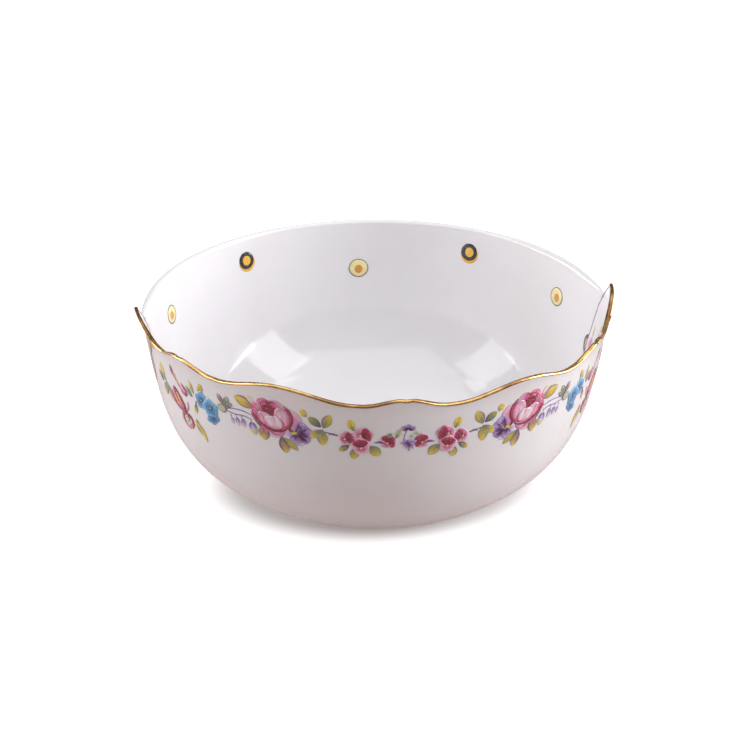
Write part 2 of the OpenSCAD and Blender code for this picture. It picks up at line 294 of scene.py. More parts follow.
class Finish:
    """A node material with a Principled shader, and short calls that add nodes to it."""

    def __init__(self, name, **constants):
        self.material = bpy.data.materials.new(name)
        self.material.use_nodes = True
        self.tree = self.material.node_tree
        self.shader = self.tree.nodes["Principled BSDF"]
        for socket, value in constants.items():
            self.shader.inputs[socket.replace("_", " ")].default_value = value
        self.place = self.add("ShaderNodeTexCoord").outputs["Object"]

    def add(self, kind, **settings):
        node = self.tree.nodes.new(kind)
        for key, value in settings.items():
            setattr(node, key, value)
        return node

    def link(self, source, target):
        self.tree.links.new(source, target)

    def cloud(self, scale, detail=4.0, roughness=0.5, stretch=(1, 1, 1)):
        """Noise over the piece, as a number round 0.5."""
        mapping = self.add("ShaderNodeMapping")
        mapping.inputs["Scale"].default_value = stretch
        texture = self.add("ShaderNodeTexNoise")
        texture.inputs["Scale"].default_value = scale
        texture.inputs["Detail"].default_value = detail
        texture.inputs["Roughness"].default_value = roughness
        self.link(self.place, mapping.inputs["Vector"])
        self.link(mapping.outputs["Vector"], texture.inputs["Vector"])
        return texture.outputs["Fac"]

    def ramp(self, source, stops):
        """A colour ramp through (position, colour) stops."""
        node = self.add("ShaderNodeValToRGB")
        elements = node.color_ramp.elements
        while len(elements) < len(stops):
            elements.new(0.5)
        for element, (position, value) in zip(elements, stops):
            element.position = position
            element.color = (*value, 1)
        self.link(source, node.inputs["Fac"])
        return node.outputs["Color"]

    def span(self, source, low, high, near=0.35, far=0.65):
        """source from near to far, mapped to low to high."""
        node = self.add("ShaderNodeMapRange")
        sockets = ("From Min", "From Max", "To Min", "To Max")
        for socket, value in zip(sockets, (near, far, low, high)):
            node.inputs[socket].default_value = value
        self.link(source, node.inputs["Value"])
        return node.outputs["Result"]

    def mix(self, factor, first, second, blend="MIX"):
        node = self.add("ShaderNodeMix", data_type="RGBA", blend_type=blend)
        inputs = [s for s in node.inputs if s.enabled]
        for socket, value in zip(inputs, (factor, first, second)):
            if isinstance(value, bpy.types.NodeSocket):
                self.link(value, socket)
            elif isinstance(value, (int, float)):
                socket.default_value = value
            else:
                socket.default_value = (*value, 1)
        return next(s for s in node.outputs if s.enabled)

    def attribute(self, name):
        return self.add("ShaderNodeAttribute", attribute_name=name)

    def base(self, source):
        self.link(source, self.shader.inputs["Base Color"])

    def roughness(self, source):
        self.link(source, self.shader.inputs["Roughness"])

    def bump(self, source, strength, distance):
        node = self.add("ShaderNodeBump")
        node.inputs["Strength"].default_value = strength
        node.inputs["Distance"].default_value = distance
        self.link(source, node.inputs["Height"])
        self.link(node.outputs["Normal"], self.shader.inputs["Normal"])


def made(name, build):
    """The material of that name, built the first time that it is asked for."""
    return bpy.data.materials.get(name) or build(name)


def glaze_finish(name):
    """Glossy white porcelain with faint mottling, pin specks and a gentle ripple."""
    finish = Finish(name, Coat_Weight=0.6, Coat_Roughness=0.04, IOR=1.5,
                    Subsurface_Weight=0.08, Subsurface_Scale=0.004)
    mottled = finish.ramp(finish.cloud(16, 5), [(0.35, tone("glaze_warm")), (0.62, tone("glaze"))])
    specks = finish.add("ShaderNodeTexVoronoi")
    specks.inputs["Scale"].default_value = 260
    finish.link(finish.place, specks.inputs["Vector"])
    speck = finish.span(specks.outputs["Distance"], 1.0, 0.0, 0.03, 0.05)
    rare = finish.span(finish.cloud(60, 1), 0.0, 0.5, 0.62, 0.66)
    both = finish.add("ShaderNodeMath", operation="MULTIPLY")
    finish.link(speck, both.inputs[0])
    finish.link(rare, both.inputs[1])
    finish.base(finish.mix(both.outputs[0], mottled, tone("speck")))
    finish.roughness(finish.span(finish.cloud(45, 3), 0.09, 0.17))
    finish.bump(finish.cloud(26, 2), 0.10, 0.004)
    return finish.material


def gold_finish(name):
    """Burnished gold, browner in patches and along its thin edges, where the brown is also painted
    dark reflection.
    """
    finish = Finish(name, Metallic=1.0)
    brushed = finish.cloud(220, 3, 0.6, (1, 1, 3))
    bright = finish.ramp(brushed, [(0.3, tone("gold") * 0.7), (0.65, tone("gold"))])
    patchy = finish.span(finish.cloud(38, 3, 0.6), 0.0, 0.75, 0.52, 0.62)
    shaded = finish.mix(patchy, bright, tone("gold_deep"))
    # thin marks the gold's edges: thinner gold there, and also painted dark reflection, as if the
    # curved metal mirrored dark surroundings.
    thin = finish.attribute("thin").outputs["Fac"]
    finish.base(finish.mix(thin, shaded, tone("gold_deep")))
    finish.roughness(finish.span(finish.cloud(300, 3), 0.12, 0.28))
    finish.bump(brushed, 0.35, 0.0004)
    return finish.material


def enamel_finish(name, grain=0.12, gloss=0.2):
    """Fired enamel: the brush colours of the piece with fine grain and a soft gloss."""
    finish = Finish(name, Coat_Weight=0.5, Coat_Roughness=0.05)
    paint = finish.attribute("paint").outputs["Color"]
    worn = finish.span(finish.cloud(900, 3, 0.6), 0.0, grain, 0.5, 0.75)
    grained = finish.mix(worn, paint, tone("glaze"))
    finish.base(finish.mix(finish.span(finish.cloud(260, 2), 0.0, 0.10), grained,
                           (0.8, 0.74, 0.8), "MULTIPLY"))
    finish.roughness(finish.span(finish.cloud(400, 3), gloss - 0.06, gloss + 0.08))
    finish.bump(finish.cloud(1100, 2), 0.12, 0.0002)
    return finish.material


# ---- Pieces ----


def finished_object(name, bm, material, slot, nodes, sharp=None):
    """Turns bm into a piece that stands for CAD nodes and rides on the bowl."""
    mesh = bpy.data.meshes.new(name)
    bm.to_mesh(mesh)
    bm.free()
    mesh.materials.append(material)
    mesh.shade_smooth()
    if sharp:
        mesh.set_sharp_from_angle(angle=math.radians(sharp))
    piece = bpy.data.objects.new(name, mesh)
    bpy.context.scene.collection.objects.link(piece)
    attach(piece, BODY)
    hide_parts(*nodes)
    return piece


def spun(profile, steps):
    """Spins (radius, height) points about the bowl's axis.

    Returns the bmesh and the layer that holds each vertex's place in the profile.
    """
    bm = bmesh.new()
    station = bm.verts.layers.int.new("station")
    verts = []
    for i, (radius, z) in enumerate(profile):
        vert = bm.verts.new((0, -radius * MM, z * MM))
        vert[station] = i
        verts.append(vert)
    edges = [bm.edges.new(pair) for pair in zip(verts, verts[1:])]
    bmesh.ops.spin(bm, geom=verts + edges, cent=(0, 0, 0), axis=(0, 0, 1),
                   angle=math.tau, steps=steps, use_merge=True)
    return bm, station


class BodyShape:
    """The section of the porcelain at each angle, with as many points everywhere."""

    LOWER_ROWS, UPPER_ROWS, LIP_ROWS = 34, 9, 9
    # Up to this height every section has its points at the same heights.
    SHARED_TOP = 86
    # Height of the crease that rings the well, and half its width.
    CREASE, CREASE_HALF = 23.5, 0.3
    # How steeply the well is hollowed below the crease, how deep, and where that fades out.
    WELL_SLOPE, WELL_DEPTH, WELL_FADE = 0.15, 1.2, 6
    # Radius of the round on the scalloped lip.
    LIP_ROUND = 0.75

    def __init__(self, wall):
        self.wall = wall
        self.outer_low = spaced(wall.foot_h + 0.9, self.SHARED_TOP, self.LOWER_ROWS, 1.5)
        self.inner_low = sorted(spaced(wall.floor_h + 0.6, self.SHARED_TOP, self.LOWER_ROWS, 1.4)
                                + [self.CREASE - self.CREASE_HALF,
                                   self.CREASE + self.CREASE_HALF])
        self.foot = self.foot_points()

    def foot_points(self):
        """From the middle of the underside to the foot of the outer wall."""
        wall = self.wall
        near, far, bevel = wall.foot_r - wall.foot_w, wall.foot_r, wall.foot_w / 5
        edge = wall.rear_r(wall.foot_h)
        return ([(0, wall.foot_h), (14, wall.foot_h), (28, wall.foot_h),
                 (near - bevel - 0.8, wall.foot_h), (near - bevel, wall.foot_h - 0.4),
                 (near, 0.5), (near + 0.5, 0.0), (near + 1.4, 0.0),
                 (far - 1.6, 0.0), (far - 0.7, 0.0), (far, 0.5),
                 (far + bevel, wall.foot_h - 0.4), (far + bevel + 0.8, wall.foot_h),
                 (edge - 1.6, wall.foot_h), (edge - 0.3, wall.foot_h + 0.12)])

    def lip(self, angle, front):
        """Height of the lip's round start, and the rise of that round."""
        if front:
            return self.wall.lip_z(angle) - self.LIP_ROUND, self.LIP_ROUND
        return self.wall.bowl_h - self.wall.wall_t / 2, self.wall.wall_t / 2

    def well(self, z):
        """How much the wall is hollowed below the crease that rings the well of the bowl."""
        below = max(0.0, self.CREASE - z)
        fade = min(1.0, (z - self.wall.floor_h) / self.WELL_FADE)
        return min(below * self.WELL_SLOPE, self.WELL_DEPTH) * fade

    def section(self, angle, front):
        wall = self.wall
        start, rise = self.lip(angle, front)
        upper = spaced(self.SHARED_TOP, start, self.UPPER_ROWS)[1:]
        points = list(self.foot)
        points += [(wall.outer(z, angle), z) for z in self.outer_low + upper]
        out, inn = wall.outer(start, angle), wall.inner(start, angle)
        middle, half = (out + inn) / 2, (out - inn) / 2
        for i in range(1, self.LIP_ROWS):
            a = math.pi * i / self.LIP_ROWS
            points.append((middle + half * math.cos(a), start + rise * math.sin(a)))
        points += [(wall.inner(z, angle) + self.well(z), z)
                   for z in reversed(self.inner_low + upper)]
        corner = wall.inner(wall.floor_h, angle)
        points += [(corner - 0.5, wall.floor_h + 0.18), (corner - 2.2, wall.floor_h + 0.02),
                   (corner - 5, wall.floor_h), (corner * 0.66, wall.floor_h),
                   (corner * 0.33, wall.floor_h), (0, wall.floor_h)]
        return points


def shaped_columns(bm, station, shape, steps):
    """Moves each column of a spun piece to its own section, with a sharp step at the seam."""
    step = 360 / steps
    sections = {}
    for vert in bm.verts:
        if math.hypot(vert.co.x, vert.co.y) < 1e-7:
            continue
        column = round(angle_of(vert.co) / step)
        angle = column * step
        front = abs(angle) < 90 - step / 2
        if front and abs(angle) > 90 - 1.5 * step:
            angle = math.copysign(90 - 0.04, angle)
        if column not in sections:
            sections[column] = (angle, shape.section(angle, front))
        angle, points = sections[column]
        radius, z = points[vert[station]]
        vert.co = around(radius, z, angle)


class BOWL_OT_porcelain(bpy.types.Operator):
    """Makes the porcelain body: foot ring, full wall, plain lip and scalloped lip"""
    bl_idname = "bowl.porcelain"
    bl_label = "Porcelain body"

    STEPS = 480

    def execute(self, context):
        shape = BodyShape(Wall())
        bm, station = spun(shape.section(180, False), self.STEPS)
        shaped_columns(bm, station, shape, self.STEPS)
        bmesh.ops.remove_doubles(bm, verts=bm.verts, dist=1e-6)
        bmesh.ops.recalc_face_normals(bm, faces=bm.faces)
        finished_object("bowl_body", bm, made("white_glaze", glaze_finish), "porcelain",
                        ["porcelain_body"], sharp=40)
        return {"FINISHED"}


def strip(rows, columns, place, thin=None):
    """A bent grid: place(i, j) gives each point, and thin(i, j) how far it is browned: thinner
    gold, and painted dark reflection.
    """
    bm = bmesh.new()
    # This layer carries the browning of the gold's edges, which is also painted dark reflection.
    worn = bm.verts.layers.float.new("thin")
    grid = bmesh.ops.create_grid(bm, x_segments=rows, y_segments=columns, size=1)
    for vert in grid["verts"]:
        i = round((vert.co.x + 1) / 2 * rows)
        j = round((vert.co.y + 1) / 2 * columns)
        vert.co = place(i, j)
        vert[worn] = thin(i, j) if thin else 0.0
    return bm


class BOWL_OT_gilding(bpy.types.Operator):
    """Makes the gold line, a thin cap that follows the scalloped lip"""
    bl_idname = "bowl.gilding"
    bl_label = "Gold line"

    ROWS, COLUMNS = 16, 480
    # Way from the outside to the inside over the lip's round.
    OVER_LIP = 2.4
    # The line stops just short of the seam on each side.
    HALF_TURN = 89.94
    # From this angle on it narrows, and loses this share of its depth at the tip.
    TIP_START, TIP_TAPER = 50, 0.7
    # How far its two edges wander.
    WAVE = 0.16

    def execute(self, context):
        wall, sizes = Wall(), decoration()
        near = sizes.film_gap / MM
        far = near + sizes.gilt_t / MM
        rise = BodyShape.LIP_ROUND

        def on_lip(angle, way, lift):
            """A point after way millimetres: up the outside, over the lip and down the inside."""
            start = wall.lip_z(angle) - rise
            if way < 0:
                return wall.outer(start + way, angle) + lift, start + way
            if way > self.OVER_LIP:
                z = start - (way - self.OVER_LIP)
                return wall.inner(z, angle) - lift, z
            a = math.pi * way / self.OVER_LIP
            out, inn = wall.outer(start, angle), wall.inner(start, angle)
            middle, half = (out + inn) / 2, (out - inn) / 2 + lift
            return middle + half * math.cos(a), start + (rise + 0.9 * lift) * math.sin(a)

        def edges(angle):
            """Where the line starts and ends on its way over the lip. It narrows to the tips."""
            to_tip = max(0.0, (abs(angle) - self.TIP_START) / (90 - self.TIP_START))
            narrow = 1 - self.TIP_TAPER * to_tip
            wave = [self.WAVE * noise.noise(Vector((angle * 0.21, seed, 0)))
                    for seed in (3.0, 9.0)]
            return (rise - narrow * sizes.gilt_depth / MM - wave[0],
                    self.OVER_LIP - rise + narrow * sizes.gilt_depth_inside / MM + wave[1])

        def row(j):
            """The skin's row, and whether it is the outer skin or the one under it."""
            return (j, True) if j <= self.ROWS else (2 * self.ROWS + 1 - j, False)

        def place(i, j):
            angle = self.HALF_TURN * (2 * i / self.COLUMNS - 1)
            k, outer_skin = row(j % (2 * self.ROWS + 2))
            low, high = edges(angle)
            way = low + (high - low) * k / self.ROWS
            return around(*on_lip(angle, way, far if outer_skin else near), angle)

        # The gold browns towards both edges of the line: thinner gold there, and painted dark
        # reflection of the surroundings.
        def thin(i, j):
            k, _ = row(j % (2 * self.ROWS + 2))
            return 0.8 * max(0.0, 1 - min(k, self.ROWS - k) / 3.0)

        bm = strip(self.COLUMNS, 2 * self.ROWS + 2, place, thin)
        bmesh.ops.remove_doubles(bm, verts=bm.verts, dist=1e-7)
        bmesh.ops.holes_fill(bm, edges=[e for e in bm.edges if e.is_boundary], sides=0)
        bmesh.ops.recalc_face_normals(bm, faces=bm.faces)
        finished_object("gold_line", bm, made("burnished_gold", gold_finish), "gilding",
                        ["gilt_rim"], sharp=50)
        return {"FINISHED"}


# ---- Enamel drawings ----


def polar(radius, a, centre=(0, 0)):
    """The point at a radius and an angle, in radians, round a centre."""
    return centre[0] + radius * math.cos(a), centre[1] + radius * math.sin(a)


def smooth_path(points, samples):
    """Points along a smooth curve through the given ones."""
    ends = [tuple(2 * a - b for a, b in zip(points[0], points[1])), *points,
            tuple(2 * a - b for a, b in zip(points[-1], points[-2]))]
    path = []
    for k in range(samples + 1):
        s = k / samples * (len(points) - 1)
        i = min(int(s), len(points) - 2)
        t = s - i
        p = ends[i:i + 4]
        path.append(tuple(0.5 * (2 * p[1][n] + (p[2][n] - p[0][n]) * t
                                 + (2 * p[0][n] - 5 * p[1][n] + 4 * p[2][n] - p[3][n]) * t * t
                                 + (3 * p[1][n] - p[0][n] - 3 * p[2][n] + p[3][n]) * t ** 3)
                          for n in (0, 1)))
    return path


def blended(tones, t):
    """The colour at t from 0 to 1 along a list of tone names."""
    s = min(max(t, 0.0), 1.0) * (len(tones) - 1)
    i = min(int(s), max(len(tones) - 2, 0))
    if len(tones) == 1:
        return tone(tones[0])
    return tone(tones[i]).lerp(tone(tones[i + 1]), s - i)


class Drawing:
    """Brush strokes on a flat sheet, in millimetres: x runs outward along the wall, y up."""

    FIRST_LIFT = 0.10
    LAYER = 0.006

    def __init__(self):
        self.bm = bmesh.new()
        self.paint = self.bm.verts.layers.float_color.new("paint")
        self.strokes = 0

    def patch(self, across, along, place, tint, streaks):
        """One stroke: place(s, t) and tint(s, t), with s from -1 to 1 and t from 0 to 1."""
        self.strokes += 1
        lift = self.FIRST_LIFT + self.LAYER * self.strokes
        grid = bmesh.ops.create_grid(self.bm, x_segments=across, y_segments=along, size=1)
        for vert in grid["verts"]:
            s, t = vert.co.x, (vert.co.y + 1) / 2
            x, y = place(s, t)
            mark = noise.noise(Vector((s * 3.1, t * 1.3, self.strokes * 1.7)))
            shade = tint(s, t) * (1 + streaks * mark)
            vert.co = (x, y, lift)
            vert[self.paint] = (*[min(1.0, max(0.0, c)) for c in shade], 1)

    def petal(self, base, tip, width, tones, bend=0.0, full=1.3, blunt=0.6, edge=None,
              left=None, right=None, streaks=0.25):
        """A petal or leaf from base to tip.

        bend bows it to the left, and edge, left and right tint its sides.
        """
        run = (tip[0] - base[0], tip[1] - base[1])
        size = math.hypot(*run) or 1.0
        side = (-run[1] / size, run[0] / size)

        def place(s, t):
            half = width / 2 * math.sin(math.pi * t ** full) ** blunt if 0 < t < 1 else 0
            off = s * half + bend * 4 * t * (1 - t)
            return base[0] + run[0] * t + side[0] * off, base[1] + run[1] * t + side[1] * off

        def tint(s, t):
            shade = blended(tones, t)
            rim = left or edge if s > 0 else right or edge
            if rim:
                shade = shade.lerp(tone(rim), max(0.0, (abs(s) - 0.25) / 0.75) ** 1.4)
            return shade

        self.patch(8, 12, place, tint, streaks)

    def blob(self, centre, rx, ry, tones, angle=0.0, lobes=0, depth=0.12, toward=None,
             streaks=0.2):
        """A round patch coloured from its middle out. toward is (direction, tone, amount)."""
        turn_by = math.radians(angle)
        cos, sin = math.cos(turn_by), math.sin(turn_by)

        def place(s, t):
            a = math.pi * s
            r = t * (1 - depth * (0.5 - 0.5 * math.cos(lobes * a))) if lobes else t
            x, y = rx * r * math.cos(a), ry * r * math.sin(a)
            return centre[0] + x * cos - y * sin, centre[1] + x * sin + y * cos

        def tint(s, t):
            shade = blended(tones, t)
            if toward:
                facing = math.cos(math.pi * s + turn_by - math.radians(toward[0]))
                shade = shade.lerp(tone(toward[1]), toward[2] * t * max(0.0, facing))
            return shade

        self.patch(max(20, 6 * lobes), 5, place, tint, streaks)

    def line(self, points, width, tones, thin_ends=(0.35, 0.2), streaks=0.2):
        """A brush line through points, thinner at its two ends."""
        size = sum(math.dist(a, b) for a, b in zip(points, points[1:]))
        samples = max(6, round(size / 0.8))
        path = smooth_path(points, samples)

        def place(s, t):
            k = t * samples
            i = min(int(k), samples - 1)
            a, b = path[i], path[i + 1]
            f = k - i
            run = (b[0] - a[0], b[1] - a[1])
            span = math.hypot(*run) or 1.0
            ends = min(1.0, thin_ends[0] + 3.0 * t, thin_ends[1] + 3.0 * (1 - t))
            off = s * width / 2 * ends
            return a[0] + run[0] * f - run[1] / span * off, a[1] + run[1] * f + run[0] / span * off

        self.patch(2, samples, place, lambda s, t: blended(tones, t), streaks)

    def leaf(self, base, tip, width, tones=("leaf_grey", "olive", "yellow"), bend=0.0,
             left=None, right=None, vein="leaf_grey"):
        """A leaf with a vein and two side veins."""
        self.petal(base, tip, width, tones, bend, full=1.1, blunt=0.75, left=left, right=right)
        run = Vector((tip[0] - base[0], tip[1] - base[1]))
        side = Vector((-run.y, run.x)).normalized()
        start = Vector(base)

        def at(t, off):
            p = start + run * t + side * (off + bend * 4 * t * (1 - t))
            return p.x, p.y

        if vein:
            self.line([at(0.04, 0), at(0.4, 0), at(0.74, 0)], 0.42, [vein, vein, tones[-1]])
            for off in (-0.26, 0.26):
                self.line([at(0.25, 0), at(0.5, off * width)], 0.26, [vein, tones[-1]])

    def wrapped(self, name, nodes, slot, place, mirror=False):
        """Lays the drawing on the wall by place(x, y, lift) and makes it a piece."""
        bmesh.ops.remove_doubles(self.bm, verts=self.bm.verts, dist=1e-4)
        self.bm.normal_update()
        downward = [face for face in self.bm.faces if face.normal.z < 0]
        bmesh.ops.reverse_faces(self.bm, faces=downward)
        for vert in self.bm.verts:
            vert.co = place(*vert.co)
        if mirror:
            bmesh.ops.reverse_faces(self.bm, faces=self.bm.faces)
        piece = finished_object(name, self.bm, made("fired_" + slot, enamel_finish), slot, nodes)
        skin = piece.modifiers.new("enamel", "SOLIDIFY")
        skin.thickness = decoration().enamel_t
        skin.offset = -1
        return piece


def on_garland(side, angle, height):
    """Where a drawing centred at an angle and height lands on the outside of the wall."""
    wall, sizes = Wall(), decoration()
    middle = wall.lip_low - sizes.garland_drop / MM

    def place(x, y, lift):
        degrees = angle + math.degrees(x / wall.front_r(middle))
        sway = -side * sizes.garland_sway / MM * math.sin(math.radians(2 * degrees))
        return wall.outside(side * degrees, middle + height + y + sway, lift)

    return place


def on_inside(angle, z):
    """Where a drawing centred at an angle and height lands on the inside of the wall."""
    wall = Wall()

    def place(x, y, lift):
        return wall.inside(angle - math.degrees(x / wall.rear_r(z)), z + y, lift)

    return place


def make_pairs(title, angle, height, slot, draw):
    """Draws a motif once for each side and lays it on the wall."""
    for side_name, side in SIDES.items():
        drawing = Drawing()
        draw(drawing)
        drawing.wrapped(f"{title}_{side_name}_enamel", [f"{title}_{side_name}"], slot,
                        on_garland(side, angle, height), mirror=side < 0)


def draw_rose(d):
    # Outer petals behind the flower.
    d.blob((0.6, -6.8), 5.2, 3.6, ["pale_pink", "pink", "pink"], -8, toward=(-60, "blush", 0.8),
           streaks=0.3)
    d.petal((-7.4, -5.0), (-7.4, 6.8), 7.6, ["pink", "pink", "pale_pink"], bend=2.2, full=0.95,
            right="rose", left="pale_pink", blunt=0.5)
    d.petal((1.0, 3.0), (1.6, 9.8), 5.4, ["rose", "pink", "pale_pink"], bend=0.6, right="rose",
            blunt=0.5)
    d.petal((3.0, 4.0), (7.6, 9.4), 6.0, ["crimson", "rose", "pink"], bend=0.8, left="pink",
            blunt=0.5)
    d.petal((5.4, 1.0), (11.0, 6.2), 6.0, ["crimson", "rose", "pink"], bend=0.5, left="pale_pink",
            right="rose", blunt=0.5)
    d.petal((3.4, -4.0), (11.4, 2.6), 7.0, ["heart", "crimson", "rose"], bend=-0.5, left="pink",
            right="rose", blunt=0.5)
    d.petal((-1.0, -6.6), (10.6, -2.0), 4.4, ["crimson", "rose", "rose"], bend=-1.2, full=1.0,
            right="pink", blunt=0.5)
    # The cup and the dark heart.
    d.blob((-0.6, 0.2), 8.4, 6.9, ["pale_pink", "pink", "rose"], -16, toward=(-20, "rose", 0.6))
    d.petal((-5.2, 4.4), (1.6, 9.6), 4.0, ["pink", "pink", "rose"], bend=0.9, left="pale_pink",
            blunt=0.5)
    d.blob((3.4, 4.7), 5.0, 4.5, ["heart", "heart", "crimson", "crimson", "rose"], 25, streaks=0.4)
    for k in range(5):
        start, end = (5.4 + 0.75 * k, 0.6 - 0.5 * k), (7.4 + 0.75 * k, 8.0 - 1.5 * k)
        middle = ((start[0] + end[0]) / 2 + 0.5, (start[1] + end[1]) / 2 + 0.4)
        d.line([start, middle, end], 0.9, ["rose", "pink", "pale_pink"])
        d.line([(start[0] + 0.5, start[1]), (middle[0] + 0.55, middle[1]),
                (end[0] + 0.2, end[1] - 0.7)], 0.45, ["heart", "crimson", "rose"])
    for x, y, r, heading in ((5.0, 8.0, 1.7, 60), (0.6, 6.9, 1.8, 150)):
        d.blob((x, y), r, r * 0.6, ["crimson", "rose", "pink"], heading, streaks=0.35)
    d.blob((3.0, 4.6), 3.5, 3.2, ["heart", "heart", "heart", "crimson"], 30, streaks=0.5)
    d.line([(1.4, 6.0), (2.8, 7.2), (4.4, 7.0), (5.4, 5.6)], 0.5, ["crimson", "rose", "crimson"])
    d.line([(2.2, 4.2), (3.4, 5.0), (4.6, 4.4)], 0.4, ["crimson", "rose", "crimson"])
    # Front petals of the cup.
    d.blob((-3.8, 1.4), 3.9, 5.4, ["pink", "pale_pink", "pink", "rose"], -10,
           toward=(60, "pale_pink", 0.8), streaks=0.35)
    d.blob((4.6, -1.2), 4.8, 3.6, ["pale_pink", "pale_pink", "pink", "crimson"], 26,
           toward=(100, "pale_pink", 0.8), streaks=0.35)
    d.blob((0.4, -2.4), 5.2, 3.9, ["pale_pink", "pale_pink", "pink", "rose"], -8,
           toward=(80, "blush", 0.9), streaks=0.35)
    d.petal((-2.6, -4.6), (-0.8, 1.6), 3.0, ["pale_pink", "blush", "blush"], full=1.0, blunt=0.6,
            streaks=0.2)
    d.petal((1.6, -4.6), (3.6, 0.6), 2.8, ["pale_pink", "blush", "pale_pink"], full=1.0, blunt=0.6,
            streaks=0.2)
    d.line([(1.5, 1.8), (0.5, 0.4), (0.1, -1.8), (0.5, -4.0)], 0.45, ["rose", "pink", "pale_pink"])
    d.line([(-0.4, 2.4), (-2.0, 1.0), (-3.0, -1.4)], 0.4, ["rose", "pink", "pale_pink"])
    d.line([(6.8, 1.4), (5.6, -0.6), (5.9, -2.6)], 0.5, ["crimson", "rose", "pink"])
    # Creases under the cup and beside the outer petal.
    d.line([(-5.0, 8.0), (-7.2, 5.6), (-8.4, 2.4), (-8.1, -0.8), (-6.8, -3.2), (-7.4, -5.2),
            (-9.4, -5.0)], 1.3, ["crimson", "crimson", "heart", "heart", "crimson"])
    d.line([(-6.4, -3.6), (-4.4, -5.4), (-1.4, -6.4), (2.2, -6.4), (5.4, -5.2), (9.2, -2.6),
            (11.6, 0.8)], 1.2, ["crimson", "heart", "heart", "crimson", "rose"])
    d.line([(-2.8, -8.0), (0.2, -8.6), (3.2, -7.8)], 0.8, ["pink", "rose", "pink"])
    d.line([(-0.4, 8.4), (1.2, 9.1), (3.2, 9.0)], 0.5, ["rose", "crimson"])


def draw_rose_leaves(d):
    d.petal((9.6, 4.2), (13.4, 9.6), 3.0, ["olive", "blush", "straw"], streaks=0.3)
    d.leaf((11.0, 2.4), (20.6, 6.6), 6.2, ("leaf_brown", "yellow", "yellow"), 0.5, left="stem",
           right="leaf_brown", vein="leaf_brown")
    d.leaf((6.2, -4.8), (6.6, -13.6), 6.0, ("leaf_brown", "leaf_brown", "yellow"), right="stem",
           vein="stem")
    d.petal((9.6, -9.0), (13.4, -10.4), 3.0, ["olive", "mist_green", "yellow"], bend=-0.6)
    d.leaf((-2.4, -9.2), (-4.4, -18.4), 5.2, ("stem", "leaf_brown", "yellow"), left="plum",
           vein="leaf_grey")
    d.leaf((-3.2, -9.6), (-10.4, -15.6), 3.6, ("leaf_grey", "olive", "olive"), vein=None)
    d.line([(-2.4, -9.0), (-4.6, -12.4), (-6.4, -15.4)], 0.7, ["stem", "plum", "leaf_grey"])
    d.line([(10.8, -2.4), (8.8, -5.0), (7.4, -6.6)], 1.3, ["plum", "leaf_grey", "stem"])


def draw_pansy(d):
    """Pale petals towards the rose, dark ones towards the middle, and strokes from the eye."""
    petals = [(246, 6.8, 6.2, False), (288, 6.6, 6.0, False), (330, 5.6, 5.4, False),
              (202, 7.4, 6.0, True), (126, 8.0, 6.4, True), (164, 8.6, 7.0, True)]
    for heading, reach, width, dark in petals:
        a = math.radians(heading)
        tones = ["plum", "plum", "lilac", "lilac", "lavender"] if dark else \
                ["stem", "lilac", "lavender", "blush"]
        d.petal((0, 0), polar(reach, a), width, tones, full=1.4, blunt=0.55,
                edge="lilac" if dark else "lavender", streaks=0.5)
    for k in range(17):
        heading = 106 + 13 * k
        a = math.radians(heading)
        dark = heading < 225
        reach = (6.0 if dark else 4.2) + 1.1 * math.sin(2.4 * k + 0.6)
        d.line([polar(0.8, a), polar(reach * 0.6, a + 0.06), polar(reach, a)],
               1.25 if dark else 0.8, ["plum", "plum", "plum" if dark else "lilac", "lilac"])
    d.blob((0.9, 0.4), 1.9, 0.9, ["yellow", "yellow", "leaf_brown"], -14)


def draw_bells(d):
    """Four bells that shrink outward, hung from two stems, and the spray where the stems end."""
    stems = [[(-7.6, 5.4), (-3.0, 6.4), (2.4, 6.2), (6.4, 5.0), (9.0, 3.8)],
             [(-7.2, 2.8), (-3.6, 3.8), (1.0, 3.4), (4.8, 3.6), (8.0, 4.6)]]
    for stem in stems:
        d.line(stem, 0.6, ["stem", "lilac", "stem"])
    bells = ((-7.4, 1.6, 6.0, 4.6), (-2.4, 2.0, 4.8, 2.7),
             (0.9, 1.8, 4.4, 2.3), (3.8, 1.0, 3.4, 1.8))
    for n, (x, top, size, width) in enumerate(bells):
        shades = ["plum", "lilac", "blush"] if n < 3 else ["lilac", "lavender", "blush"]
        d.line([(x + 0.6, top + 1.8), (x + 0.3, top)], 0.4, ["stem", "lilac"])
        d.petal((x, top), (x - 0.4, top - size), width, ["lilac", "lavender", "blush"], full=0.9,
                blunt=0.5, left="lilac")
        for side, spread in ((1, 0.34), (-1, 0.3)):
            d.line([(x + side * 0.1 * width, top - 0.1),
                    (x + side * spread * width, top - size * 0.45),
                    (x + side * 0.2 * width - 0.3, top - size + 0.4)], 0.24 * width, shades)
    d.petal((8.2, 6.4), (11.2, 11.6), 2.6, ["leaf_brown", "leaf_brown", "blush"], edge="stem")
    d.leaf((7.4, 6.2), (5.0, 11.6), 3.2, ("leaf_grey", "leaf_grey", "mist_green"), right="stem")
    d.leaf((7.0, 5.6), (2.8, 8.4), 2.4, ("stem", "leaf_grey", "olive"), vein=None)
    d.blob((9.2, 4.4), 2.6, 2.3, ["mist_green", "mist_green", "leaf_grey"], 20, streaks=0.3)
    d.line([(7.8, 3.4), (9.4, 4.6), (10.4, 5.6)], 0.4, ["leaf_grey", "stem"])


